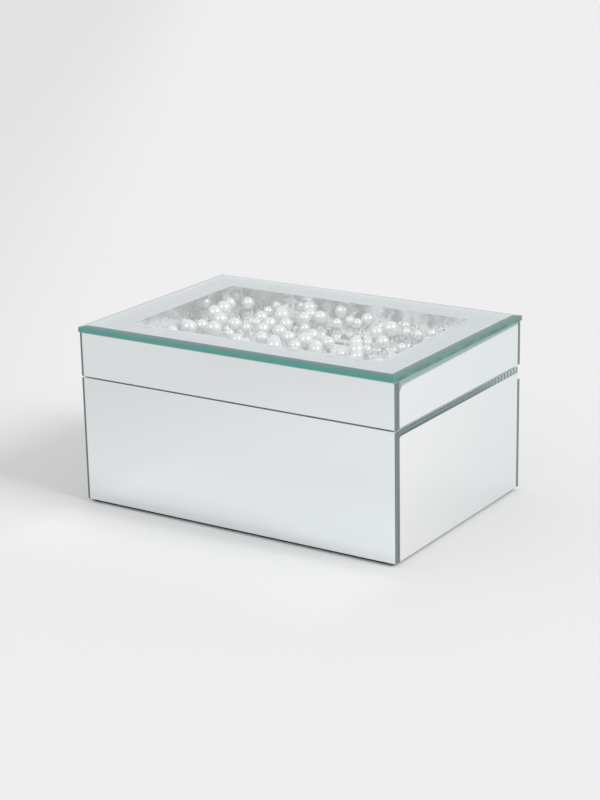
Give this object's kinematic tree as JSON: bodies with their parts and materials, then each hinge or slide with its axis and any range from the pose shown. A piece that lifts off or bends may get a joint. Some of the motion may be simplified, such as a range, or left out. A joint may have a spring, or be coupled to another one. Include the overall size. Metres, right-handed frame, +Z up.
{
  "type": "vanity trinket box",
  "caption": "Mirrored glass trinket box with a rear-hinged lid; a clear window in the bevelled top shows loose pearls and beads in a sealed tray.",
  "frame": {"origin": "middle of the footprint, on the surface that the box stands on", "axes": "+Z up, +X to the right along the box's width as seen from the front, front towards -Y"},
  "size_m": [0.242, 0.167, 0.1226],
  "materials": {
    "mirror_glass": "silvered clear glass, polished faces, ground edges",
    "clear_glass": "clear float glass with a polished bevel and a green edge",
    "silvering": "silvered coat on the underside of the glass",
    "tray_silver": "mirror sheet",
    "silver_card": "silver coated card",
    "pearl": "imitation pearl, pearlescent lacquer",
    "clear_bead": "clear glass bead",
    "fibreboard": "raw fibreboard",
    "painted_board": "fibreboard painted grey",
    "velvet": "grey velvet on card or wadding",
    "felt": "black felt",
    "bumper": "clear soft dot",
    "hinge_metal": "nickel plated",
    "screw_metal": "nickel plated"
  },
  "bodies": {
    "box_body": {"base_board": "fibreboard", "body_hinge_screws": "screw_metal", "felt_base": "felt", "floor_pad": "velvet", "hinge_leaf_body_left": "hinge_metal", "hinge_leaf_body_right": "hinge_metal", "hinge_pin_left": "hinge_metal", "hinge_pin_right": "hinge_metal", "lid_bumpers": "bumper", "lining_back": "velvet", "lining_front": "velvet", "lining_left": "velvet", "lining_right": "velvet", "mirror_back": "mirror_glass", "mirror_front": "mirror_glass", "mirror_left": "mirror_glass", "mirror_right": "mirror_glass", "wall_back": "painted_board", "wall_front": "painted_board", "wall_left": "painted_board", "wall_right": "painted_board"},
    "lid": {"glass_beads": "clear_bead", "hinge_leaf_lid_left": "hinge_metal", "hinge_leaf_lid_right": "hinge_metal", "lid_hinge_screws": "screw_metal", "lid_lining": "velvet", "lid_lining_back": "velvet", "lid_lining_front": "velvet", "lid_lining_left": "velvet", "lid_lining_right": "velvet", "lid_mirror_back": "mirror_glass", "lid_mirror_front": "mirror_glass", "lid_mirror_left": "mirror_glass", "lid_mirror_right": "mirror_glass", "lid_rail_back": "painted_board", "lid_rail_front": "painted_board", "lid_rail_left": "painted_board", "lid_rail_right": "painted_board", "pearls_large": "pearl", "pearls_medium": "pearl", "pearls_small": "pearl", "silver_border": "silvering", "top_glass": "clear_glass", "tray_board": "fibreboard", "tray_liner_back": "silver_card", "tray_liner_front": "silver_card", "tray_liner_left": "silver_card", "tray_liner_right": "silver_card", "tray_mirror": "tray_silver"}
  },
  "joints": [
    {"name": "lid_hinge", "type": "hinge", "parent": "box_body", "child": "lid", "pos_m": [0, 0.0811, 0.0852], "axis": [-1, 0, 0], "range_deg": [0, 95]}
  ]
}
